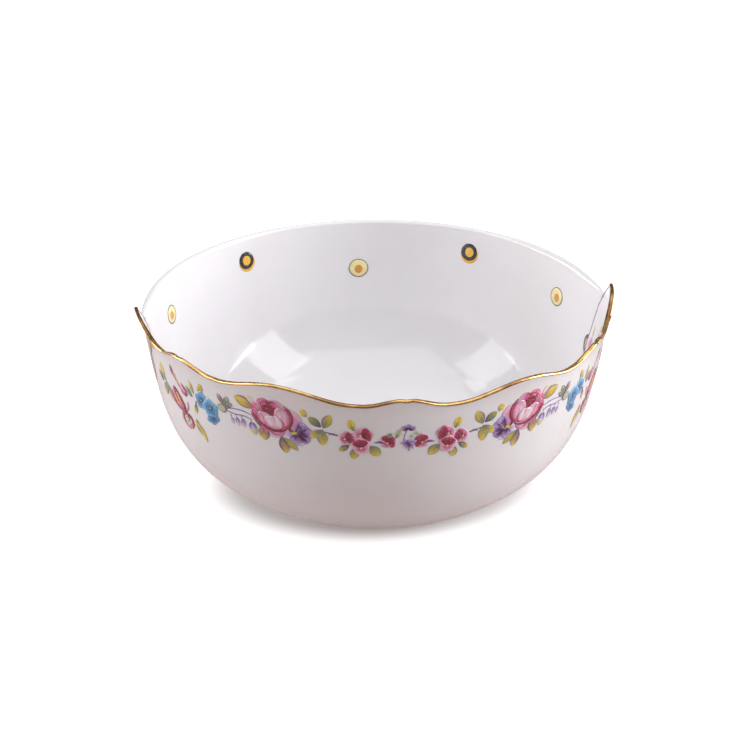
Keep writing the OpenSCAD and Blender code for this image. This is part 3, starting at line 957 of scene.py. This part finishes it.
def draw_blue_flowers(d):
    d.petal((3.2, 6.6), (3.8, 12.2), 3.4, ["olive", "yellow", "yellow"], left="leaf_grey")
    for x, y, rx, ry, tilt in ((-2.2, -4.4, 5.0, 3.4, -30), (4.0, 3.0, 4.6, 5.2, 20),
                               (-1.6, 0.8, 5.4, 5.2, 10)):
        d.blob((x, y), rx, ry, ["blue", "blue", "blue", "sky"], tilt, lobes=5, depth=0.16,
               toward=(110, "sky", 0.5), streaks=0.4)
        for k in range(9):
            a = 0.7 * k + tilt
            near, far = 0.8, 0.62 * rx + 0.5 * math.sin(3 * k)
            d.line([polar(near, a, (x, y)), polar(far, a, (x, y))], 0.45, ["navy", "blue"])
    for x, y in ((-1.6, 0.8), (4.0, 3.0)):
        d.line([(x - 1.5, y + 1.0), (x, y - 0.2), (x + 1.6, y - 1.3)], 1.0, ["navy", "navy"])
        d.line([(x - 0.9, y - 1.0), (x + 0.4, y + 0.9)], 0.7, ["navy", "blue"])
        d.blob((x, y), 0.42, 0.36, ["straw", "yellow"])
    d.line([(-3.8, -3.6), (-2.2, -4.4), (-0.6, -5.4)], 0.8, ["navy", "navy", "blue"])


def draw_ribbon(d):
    def loop(points, width, tones):
        wide = [(1.35 * x - 0.4, y) for x, y in points]
        d.line(wide, 1.45 * width, tones, thin_ends=(0.6, 0.6))

    # The tail that curls over at its foot.
    loop([(3.4, 12.8), (2.6, 9.6), (0.6, 6.2), (-1.6, 3.4)], 0.8,
         ["crimson", "rose", "pink", "rose"])
    loop([(-1.4, 3.6), (-2.8, 1.8), (-4.6, 1.6), (-4.4, 3.6), (-2.4, 6.6)], 1.35,
         ["pink", "rose", "crimson", "rose", "crimson"])
    d.petal((4.4, 13.6), (3.0, 8.2), 2.8, ["heart", "crimson", "rose", "pink"])
    for x, y in ((0.4, 8.0), (-1.0, 5.8)):
        d.petal((x, y), (x + 0.9, y + 2.0), 1.2, ["straw", "yellow"])
    # Two long loops over the knot.
    loop([(-2.4, -8.8), (-1.0, -4.8), (1.4, -0.8), (3.4, 1.2), (3.8, -0.6), (2.2, -4.2),
          (-1.2, -8.0)], 1.7, ["heart", "crimson", "crimson", "heart", "crimson", "rose", "rose"])
    loop([(-1.8, -8.6), (1.6, -7.2), (4.6, -4.6), (6.6, -1.8), (6.2, -4.2), (3.8, -7.6),
          (-0.4, -9.8)], 1.3, ["crimson", "rose", "rose", "rose", "crimson", "crimson", "heart"])
    d.petal((-0.4, -6.6), (2.9, -0.4), 1.5, ["straw", "yellow", "straw"])
    d.petal((1.6, -7.4), (5.8, -3.2), 1.2, ["straw", "yellow", "straw"])
    for x, y in ((0.4, -4.8), (1.4, -3.0), (3.4, -5.6)):
        d.line([(x, y), (x + 0.8, y + 0.9)], 0.4, ["leaf_brown", "crimson"])
    loop([(-2.6, -8.2), (-4.2, -5.4), (-4.4, -2.4)], 0.9, ["rose", "pink", "pink"])
    # The ring below the knot.
    loop([(-1.6, -9.4), (0.6, -11.4), (0.6, -15.0), (-2.2, -16.8), (-5.0, -14.8), (-4.8, -11.2),
          (-2.2, -9.2)], 1.5, ["heart", "rose", "pink", "pink", "rose", "crimson", "heart"])
    d.blob((-2.2, -12.9), 0.9, 1.4, ["straw", "yellow", "blush"])
    d.blob((-1.8, -9.0), 2.1, 1.6, ["heart", "heart", "crimson"], 30)


def draw_ribbon_leaves(d):
    d.leaf((-2.6, 5.0), (-3.6, 11.0), 3.0, ("leaf_grey", "olive", "yellow"))
    d.petal((1.8, 4.2), (4.6, 11.4), 2.4, ["leaf_brown", "olive", "straw"], bend=0.3)
    d.leaf((3.2, 2.2), (8.0, 6.8), 3.2, ("leaf_grey", "leaf_grey", "mist_green"), left="leaf_grey")
    d.leaf((1.4, -0.6), (2.6, -6.2), 2.6, ("stem", "olive", "yellow"))
    d.line([(0.6, 1.4), (1.6, -0.8), (2.2, -2.6)], 0.6, ["stem", "plum"])
    d.leaf((3.8, -9.6), (2.0, -14.2), 2.6, ("leaf_brown", "olive", "leaf_brown"), 0.4)
    d.petal((4.8, -11.4), (-1.6, -20.8), 3.0, ["yellow", "olive", "yellow", "yellow"], bend=-1.3,
            full=0.9)
    d.line([(4.8, -12.0), (3.6, -15.0), (1.2, -18.0)], 0.6, ["olive", "stem", "olive"])
    d.petal((11.0, -10.0), (11.6, -14.6), 1.8, ["leaf_grey", "mist_green", "olive"])
    d.petal((10.2, -14.0), (9.6, -17.6), 1.3, ["olive", "yellow"])


def crimson_flower(d, x, y, r, heading, second=None):
    """A small flower: pink petals, one or two crimson fans and a pale eye."""
    d.blob((x, y), r, r * 0.94, ["pink", "pink", "rose", "pink", "pink", "pale_pink"], heading,
           lobes=5, depth=0.14, toward=(heading + 180, "pale_pink", 0.7), streaks=0.4)
    fans = [(heading, 1.0)] + ([(second, 0.85)] if second is not None else [])
    a = math.radians(heading)
    eye = (x - 0.25 * r * math.cos(a), y - 0.25 * r * math.sin(a))
    for angle, size in fans:
        b = math.radians(angle)
        reach = r * size
        d.petal(eye, polar(0.98 * reach, b, eye), 1.5 * reach,
                ["heart", "heart", "heart", "crimson", "rose"], full=1.4, blunt=0.5,
                edge="crimson", streaks=0.5)
        for k in (-2, -1, 0, 1, 2):
            c = b + 0.34 * k
            d.line([polar(0.2 * r, c, eye), polar(1.08 * reach, c, eye)], 0.5,
                   ["heart", "heart", "crimson", "rose"])
    for k in range(6):
        c = a + math.pi + 0.5 * (k - 2.5)
        d.line([polar(0.15 * r, c, eye), polar(0.6 * r, c, eye)], 0.42,
               ["crimson", "rose", "pink"])
    d.blob(eye, 0.5, 0.5, ["straw", "yellow"])


def draw_crimson_trio(d):
    d.leaf((2.2, 4.6), (4.4, 10.6), 3.6, ("leaf_grey", "yellow", "yellow"))
    d.leaf((1.8, -4.6), (2.6, -11.0), 4.4, ("plum", "olive", "yellow"), left="leaf_grey")
    d.leaf((4.4, -3.4), (9.4, -6.8), 3.0, ("plum", "leaf_grey", "yellow"))
    d.leaf((-4.6, -3.2), (-9.6, -8.4), 5.2, ("leaf_grey", "olive", "yellow"), right="leaf_grey")
    crimson_flower(d, 5.4, 0.3, 4.3, 160)
    crimson_flower(d, -2.0, 2.6, 4.9, 165)
    crimson_flower(d, -0.8, -3.2, 4.8, 80)


def draw_crimson_single(d):
    crimson_flower(d, 0.4, 0.2, 4.2, 100, 172)


def draw_leaf_pair(d):
    d.leaf((0.6, 2.2), (-3.0, 9.8), 4.8, ("leaf_grey", "olive", "yellow"), right="stem")
    d.leaf((1.4, 2.8), (7.4, 7.4), 4.2, ("plum", "leaf_grey", "olive"))
    d.leaf((1.0, 1.6), (1.4, -7.2), 5.2, ("leaf_grey", "olive", "yellow"), left="leaf_grey")
    d.leaf((1.6, 1.2), (6.8, -3.6), 3.8, ("stem", "olive", "yellow"))
    d.petal((8.2, 7.2), (10.4, 10.8), 3.2, ["leaf_grey", "yellow", "yellow"])


def draw_garland_stem(d):
    d.line([(-5.4, -0.6), (-2.0, 0.2), (1.6, 1.0), (5.8, 2.0)], 0.75, ["plum", "stem", "plum"])
    for x, y, dx, dy in ((-3.4, 0.0, 1.2, -1.0), (0.8, 0.8, 1.2, 1.1), (2.8, 1.2, 1.2, -0.8)):
        d.line([(x, y), (x + dx, y + dy)], 0.4, ["stem", "lilac"])
    # The short link between the single flower and the trio.
    d.line([(-21.2, -2.2), (-19.0, -1.9), (-16.6, -2.1)], 0.9, ["plum", "stem", "lilac"])
    d.line([(-20.4, -1.4), (-18.2, -1.3)], 0.4, ["stem", "lilac"])


def draw_seam_spray(d):
    d.line([(-9.4, -7.4), (-5.0, -2.4), (-0.6, 1.6), (1.8, 5.4), (3.2, 9.6)], 0.8,
           ["lilac", "stem", "stem", "lilac"])
    d.leaf((1.4, 2.4), (3.6, 10.8), 5.4, ("leaf_grey", "yellow", "yellow"))
    d.leaf((-1.2, 1.2), (-6.0, -6.6), 4.6, ("stem", "olive", "yellow"))
    d.leaf((1.4, 1.4), (2.4, -6.0), 4.4, ("stem", "olive", "olive"))
    d.petal((3.6, 0.6), (7.4, 5.4), 2.8, ["stem", "leaf_grey", "lilac"])
    d.petal((8.4, 15.4), (12.4, 21.8), 4.6, ["yellow", "yellow", "straw"])
    # The golden feather that runs on beside the seam.
    d.petal((14.4, 21.0), (20.0, 9.6), 6.4, ["amber", "yellow", "leaf_brown"], edge="amber")
    d.petal((19.2, 8.8), (24.0, -7.6), 6.0, ["lilac", "amber", "leaf_brown"], edge="straw")
    d.line([(15.0, 19.6), (18.8, 11.0), (21.8, 3.0), (23.6, -6.0)], 1.6,
           ["leaf_brown", "stem", "lilac"])


def draw_centre_sprig(d):
    low = (0.2, -2.8)
    for k in range(9):
        a = math.radians(14 + 19 * k)
        reach = 3.7 + 0.4 * math.sin(2.1 * k)
        d.petal((0.3 * math.cos(a), 4.6 + 0.3 * math.sin(a)),
                (reach * math.cos(a), 4.6 + reach * 0.9 * math.sin(a)), 1.5,
                ["plum", "plum", "lilac", "lavender"], full=1.1, streaks=0.5)
    d.line([(-0.6, 4.4), (-1.8, 1.0), (-0.4, -2.6)], 0.5, ["stem", "lilac", "plum"])
    for k in range(11):
        a = math.radians(-10 + 36 * k)
        reach = 3.4 + 0.9 * math.sin(1.7 * k)
        d.petal(low, polar(reach, a, low), 1.3, ["plum", "lilac", "lavender"], full=1.0,
                streaks=0.5)
    for a in (-60, -24, 100, 150):
        d.line([low, polar(2.6, math.radians(a), low)], 0.5, ["plum", "plum", "lilac"])
    for x, y, r in ((1.6, 1.4, 1.0), (3.8, 3.0, 1.1)):
        d.blob((x, y), r, r * 0.9, ["leaf_grey", "mist_green", "mist_green"])
    d.leaf((-5.6, 0.4), (-3.4, 5.2), 2.4, ("leaf_grey", "mist_green", "olive"))
    d.blob((-8.2, 2.2), 1.3, 1.1, ["leaf_grey", "leaf_grey", "mist_green"])


def motif_operator(title, label, description, angle, height, slot, draw):
    """An operator that makes the left and the right copy of one motif of the garland."""
    def execute(self, context):
        make_pairs(title, angle, height, slot, draw)
        return {"FINISHED"}
    return type(f"BOWL_OT_{title}", (bpy.types.Operator,),
                {"__doc__": description, "bl_idname": f"bowl.{title}", "bl_label": label,
                 "execute": execute})


# Each motif's name, label, description, angle, height above the garland, slot and drawing.
MOTIFS = [
    ("rose", "Roses", "Makes the two full roses", 31.6, 5.9, "rose_enamel", draw_rose),
    ("rose_leaves", "Rose leaves", "Makes the leaves round the roses", 31.6, 6.2, "leaf_enamel",
     draw_rose_leaves),
    ("pansy", "Pansies", "Makes the pansies beside the roses", 26.4, -0.4, "plum_enamel",
     draw_pansy),
    ("bells", "Bell flowers", "Makes the hanging bells and their stems", 42, -0.6, "plum_enamel",
     draw_bells),
    ("blue_flowers", "Blue flowers", "Makes the clusters of blue flowers", 52, 0, "blue_enamel",
     draw_blue_flowers),
    ("ribbon", "Ribbons", "Makes the ribbon bows", 64, 0, "rose_enamel", draw_ribbon),
    ("ribbon_leaves", "Ribbon leaves", "Makes the leaves between ribbon and blue flowers", 56, 0,
     "leaf_enamel", draw_ribbon_leaves),
    ("garland_stem", "Stems", "Makes the thin stems of the garland", 16.2, 1, "plum_enamel",
     draw_garland_stem),
    ("crimson_trio", "Crimson trios", "Makes the groups of three crimson flowers", 11, 0.2,
     "crimson_enamel", draw_crimson_trio),
    ("crimson_single", "Crimson flowers", "Makes the single crimson flowers", 3.9, -0.4,
     "crimson_enamel", draw_crimson_single),
    ("leaf_pair", "Leaf pairs", "Makes the leaves between trio and pansy", 19.2, 2.6, "leaf_enamel",
     draw_leaf_pair),
    ("seam_spray", "Seam sprays", "Makes the leaf sprays near the seam", 71, -1, "leaf_enamel",
     draw_seam_spray),
]
MOTIF_OPERATORS = [motif_operator(*row) for row in MOTIFS]


class BOWL_OT_centre_sprig(bpy.types.Operator):
    """Makes the purple sprig in the middle of the garland"""
    bl_idname = "bowl.centre_sprig"
    bl_label = "Centre sprig"

    def execute(self, context):
        drawing = Drawing()
        draw_centre_sprig(drawing)
        drawing.wrapped("centre_sprig_enamel", ["centre_sprig"], "plum_enamel",
                        on_garland(1, 0.7, 1))
        return {"FINISHED"}


class BOWL_OT_seam_lines(bpy.types.Operator):
    """Makes the lavender lines along the seam, inside and outside"""
    bl_idname = "bowl.seam_lines"
    bl_label = "Seam lines"

    ROWS = 70

    def execute(self, context):
        wall, sizes = Wall(), decoration()
        top = wall.lip_z(90) - sizes.gilt_depth / MM - 0.3
        width = sizes.seam_w / MM
        material = made("fired_seam_enamel", enamel_finish)

        def wall_line(low, point):
            """Draws the line on both sides of the bowl, from low up to the lip."""
            drawing = Drawing()
            levels = spaced(low, top, self.ROWS, 1.3)
            for side in SIDES.values():
                def place(s, t):
                    return side * (s + 1.1) / 2 * width, levels[round(t * self.ROWS)]
                drawing.patch(3, self.ROWS, place,
                              lambda s, t: blended(["stem", "lilac"], abs(s)), 0.25)
            for vert in drawing.bm.verts:
                x, z, lift = vert.co
                side = math.copysign(1, x)
                degrees = 90 - math.degrees(abs(x) / wall.rear_r(z))
                vert.co = point(side * degrees, z, lift)
            return drawing

        outside = wall_line(wall.foot_h + 1.5, wall.outside)
        inside = wall_line(wall.floor_h + 1.2, wall.inside)
        # The inside line crosses the floor from wall to wall.
        edge = wall.inner(wall.floor_h + 1.2, 0)

        def across_floor(s, t):
            return (2 * t - 1) * edge, -(s + 1.1) / 2 * width

        before = set(inside.bm.verts)
        inside.patch(3, 40, across_floor,
                     lambda s, t: blended(["lilac", "lavender"], abs(s)), 0.25)
        for vert in set(inside.bm.verts) - before:
            rise = 1.2 * max(0.0, (abs(vert.co.x) - edge + 6) / 6) ** 2
            vert.co = Vector((vert.co.x, vert.co.y, wall.floor_h + 0.1 + rise)) * MM
        for node, drawing, outward in (("seam_line_outside", outside, 1),
                                       ("seam_line_inside", inside, -1)):
            bm = drawing.bm
            bm.normal_update()
            middle = Vector((0, 0, wall.bowl_h * 0.9 * MM))
            wrong = [f for f in bm.faces
                     if outward * f.normal.dot(f.calc_center_median() - middle) < 0]
            bmesh.ops.reverse_faces(bm, faces=wrong)
            piece = finished_object(node + "_enamel", bm, material, "seam_enamel", [node])
            skin = piece.modifiers.new("enamel", "SOLIDIFY")
            skin.thickness, skin.offset = sizes.enamel_t, -1
        return {"FINISHED"}


def draw_pale_dot(d, r):
    d.blob((0, 0), r * 1.04, r * 0.92, ["black"], streaks=0.15)
    d.blob((0, 0), r * 1.04 - 0.38, r * 0.92 - 0.38, ["straw"], streaks=0.12)
    d.blob((0.1, -0.5), r * 0.42, r * 0.42, ["amber"], streaks=0.25)


def draw_dark_dot(d, r):
    d.blob((0.2, -0.7), r, r * 0.96, ["amber", "dot_gold", "dot_gold"], streaks=0.2)
    d.blob((0, 0.3), r * 0.93, r * 0.9, ["black"], streaks=0.1)
    d.blob((0.1, 0.2), r * 0.5, r * 0.5, ["dot_gold"], streaks=0.2)


class BOWL_OT_dots(bpy.types.Operator):
    """Makes the ringed dots inside the plain half"""
    bl_idname = "bowl.dots"
    bl_label = "Ringed dots"

    # The angle of each dot, and how far it stands above the middle one.
    PALE = {"left": (-114.5, 5.5), "middle": (177.7, 0), "right": (113.5, 5.5)}
    DARK = {"left": (-149.2, 12), "right": (146.2, 12)}

    def execute(self, context):
        wall, sizes = Wall(), decoration()
        middle = wall.bowl_h - sizes.dot_drop / MM
        r = sizes.dot_d / MM / 2
        kinds = (("pale_dot", draw_pale_dot, r * 1.03, "straw_enamel", self.PALE),
                 ("dark_dot", draw_dark_dot, r, "black_enamel", self.DARK))
        for kind, draw, size, slot, places in kinds:
            for name, (degrees, rise) in places.items():
                drawing = Drawing()
                draw(drawing, size)
                drawing.wrapped(f"{kind}_{name}_enamel", [f"{kind}_{name}"], slot,
                                on_inside(degrees, middle + rise))
        return {"FINISHED"}


class BOWL_OT_seam_motifs(bpy.types.Operator):
    """Makes the half dots and the pale flowers that meet at the seam inside"""
    bl_idname = "bowl.seam_motifs"
    bl_label = "Motifs at the seam"

    def execute(self, context):
        wall, sizes = Wall(), decoration()
        middle = wall.bowl_h - sizes.dot_drop / MM
        r = sizes.dot_d / MM / 2
        for name, side in SIDES.items():
            dot = Drawing()
            draw_dark_dot(dot, r)
            bmesh.ops.bisect_plane(
                dot.bm, geom=[*dot.bm.verts, *dot.bm.edges, *dot.bm.faces],
                plane_co=(0, 0, 0), plane_no=(side, 0, 0), clear_outer=True)
            dot.wrapped(f"half_dot_{name}_enamel", [f"half_dot_{name}"], "black_enamel",
                        on_inside(side * 90.05, middle - 2))
            flower = Drawing()
            for k in range(6):
                a = math.radians(60 * k + 20)
                flower.petal((0.3 * math.cos(a), 0.3 * math.sin(a)),
                             (3.4 * math.cos(a), 4.2 * math.sin(a)), 3.2,
                             ["rose", "pink", "pale_pink"], full=1.4, streaks=0.35)
            flower.blob((0, 0), 0.8, 0.8, ["yellow", "rose"])
            flower.leaf((0.4, 4.0), (-1.4, 9.2), 1.8, ("olive", "yellow", "yellow"), vein=None)
            flower.wrapped(f"inner_flower_{name}_enamel", [f"inner_flower_{name}"], "rose_enamel",
                           on_inside(side * 86, middle + 1))
        return {"FINISHED"}


# A shadow is painted into the floor: its glow starts and is full at these multiples of the foot's
# radius, and the painted shadow under the bowl is stretched sideways.
GLOW_START, GLOW_FULL = 1.02, 1.42
PAINTED_SHADOW_SQUEEZE = (0.78, 1, 1)


def fade_glow(material, foot_r, glow):
    """Paints a shadow under the bowl: the floor's own glow fades out where the bowl stands on it.
    """
    tree = material.node_tree
    place = tree.nodes.new("ShaderNodeTexCoord")
    narrowed = tree.nodes.new("ShaderNodeVectorMath")
    narrowed.operation = "MULTIPLY"
    narrowed.inputs[1].default_value = PAINTED_SHADOW_SQUEEZE
    distance = tree.nodes.new("ShaderNodeVectorMath")
    distance.operation = "LENGTH"
    fade = tree.nodes.new("ShaderNodeMapRange")
    fade.interpolation_type = "SMOOTHSTEP"
    for socket, value in (("From Min", foot_r * GLOW_START), ("From Max", foot_r * GLOW_FULL),
                          ("To Min", 0.0), ("To Max", glow)):
        fade.inputs[socket].default_value = value
    tree.links.new(place.outputs["Object"], narrowed.inputs[0])
    tree.links.new(narrowed.outputs["Vector"], distance.inputs[0])
    tree.links.new(distance.outputs["Value"], fade.inputs["Value"])
    tree.links.new(fade.outputs["Result"],
                   tree.nodes["Principled BSDF"].inputs["Emission Strength"])


class BOWL_OT_stage(bpy.types.Operator):
    """Makes the floor, the soft lights and the camera"""
    bl_idname = "bowl.stage"
    bl_label = "Floor, lights and camera"

    LIGHT_TINT = (0.965, 0.975, 1.0)
    # Azimuth and elevation of each soft box, its distance, and its width and height.
    BOXES = {
        "overhead": (0, 88, 2.2, 3.2, 3.2),
        "right_box": (67, 33, 1.9, 0.85, 1.4),
        "left_box": (-91, 31, 1.9, 0.8, 1.4),
        "right_fill": (96, 10, 1.9, 1.7, 0.9),
        "left_fill": (-118, 10, 1.9, 1.7, 0.9),
    }
    SENSOR_WIDTH = 36
    LENS_SHIFT = (-0.0005, 0.0273)

    def execute(self, context):
        stage = context.scene.bowl_stage
        wall = wall_settings()

        def sheet(name, shades, **constants):
            """A floor of plain paper, mottled between two shades."""
            bm = bmesh.new()
            bmesh.ops.create_grid(bm, x_segments=8, y_segments=8, size=stage.floor_size)
            mesh = bpy.data.meshes.new(name)
            bm.to_mesh(mesh)
            bm.free()
            floor = bpy.data.objects.new(name, mesh)
            context.scene.collection.objects.link(floor)
            finish = Finish(name + "_paper", Specular_IOR_Level=0.1, **constants)
            finish.base(finish.ramp(finish.cloud(3, 2), [(0.3, shades[0]), (0.7, shades[1])]))
            finish.roughness(finish.span(finish.cloud(40, 2), 0.7, 0.8))
            mesh.materials.append(finish.material)
            return floor

        white = sheet("pale_floor", ((0.92, 0.92, 0.92), (0.94, 0.94, 0.94)),
                      Emission_Color=(1, 1, 1, 1), Emission_Strength=stage.floor_glow)
        white.visible_diffuse = white.visible_glossy = False
        # The white floor's glow fades out under the bowl, which paints a shadow there.
        fade_glow(white.active_material, wall.foot_r, stage.floor_glow)
        warm = sheet("warm_floor", ((0.86, 0.755, 0.73), (0.88, 0.775, 0.75)),
                     Emission_Color=(1.0, 0.9, 0.88, 1), Emission_Strength=0.13)
        warm.visible_camera = warm.visible_shadow = False

        aim = Vector((0, 0, wall.lip_low / 2))

        def direction(azimuth, elevation):
            """Towards that azimuth, from -Y to +X, and elevation, in radians."""
            return Vector((math.sin(azimuth) * math.cos(elevation),
                           -math.cos(azimuth) * math.cos(elevation), math.sin(elevation)))

        def box(name, azimuth, elevation, distance, width, height, power):
            light = bpy.data.lights.new(name, "AREA")
            light.shape = "RECTANGLE"
            light.size, light.size_y, light.energy = width, height, power
            light.color = self.LIGHT_TINT
            lamp = bpy.data.objects.new(name, light)
            way = direction(math.radians(azimuth), math.radians(elevation))
            lamp.location = aim + way * distance
            lamp.rotation_euler = way.to_track_quat("Z", "Y").to_euler()
            context.scene.collection.objects.link(lamp)

        for name, placing in self.BOXES.items():
            box(name, *placing, getattr(stage, name))

        world = bpy.data.worlds.new("pale_surround")
        world.use_nodes = True
        background = world.node_tree.nodes["Background"]
        background.inputs["Color"].default_value = (1, 1, 1, 1)
        background.inputs["Strength"].default_value = stage.surround
        context.scene.world = world
        context.scene.view_settings.view_transform = "Standard"

        lens = bpy.data.cameras.new("camera")
        lens.lens, lens.sensor_width = stage.camera_lens, self.SENSOR_WIDTH
        lens.shift_x, lens.shift_y = self.LENS_SHIFT
        lens.clip_start, lens.clip_end = 0.05, 50
        camera = bpy.data.objects.new("camera", lens)
        way = direction(-stage.camera_azimuth, stage.camera_elevation)
        camera.location = aim + way * stage.camera_distance
        camera.rotation_euler = way.to_track_quat("Z", "Y").to_euler()
        context.scene.collection.objects.link(camera)
        context.scene.camera = camera
        return {"FINISHED"}


GROUPS = (BOWL_PG_wall, BOWL_PG_decoration, BOWL_PG_colours, BOWL_PG_stage)
OPERATORS = (BOWL_OT_stage, BOWL_OT_porcelain, BOWL_OT_gilding, BOWL_OT_seam_lines,
             *MOTIF_OPERATORS, BOWL_OT_centre_sprig, BOWL_OT_dots, BOWL_OT_seam_motifs)


class BOWL_PT_panel(bpy.types.Panel):
    """Lists the pieces of the bowl, each with its own button"""
    bl_label = "Porcelain serving bowl"
    bl_idname = "BOWL_PT_panel"
    bl_space_type = "VIEW_3D"
    bl_region_type = "UI"
    bl_category = "Bowl"

    def draw(self, context):
        for operator in OPERATORS:
            self.layout.operator(operator.bl_idname)


def register():
    for group in (*GROUPS, *OPERATORS, BOWL_PT_panel):
        bpy.utils.register_class(group)
    for group in GROUPS:
        setattr(bpy.types.Scene, "bowl_" + group.__name__.split("_PG_")[1],
                PointerProperty(type=group))


def unregister():
    for group in GROUPS:
        delattr(bpy.types.Scene, "bowl_" + group.__name__.split("_PG_")[1])
    for group in reversed((*GROUPS, *OPERATORS, BOWL_PT_panel)):
        bpy.utils.unregister_class(group)


def main():
    register()
    for operator in OPERATORS:
        getattr(bpy.ops.bowl, operator.bl_idname.split(".")[1])()


if __name__ == "__main__":
    main()
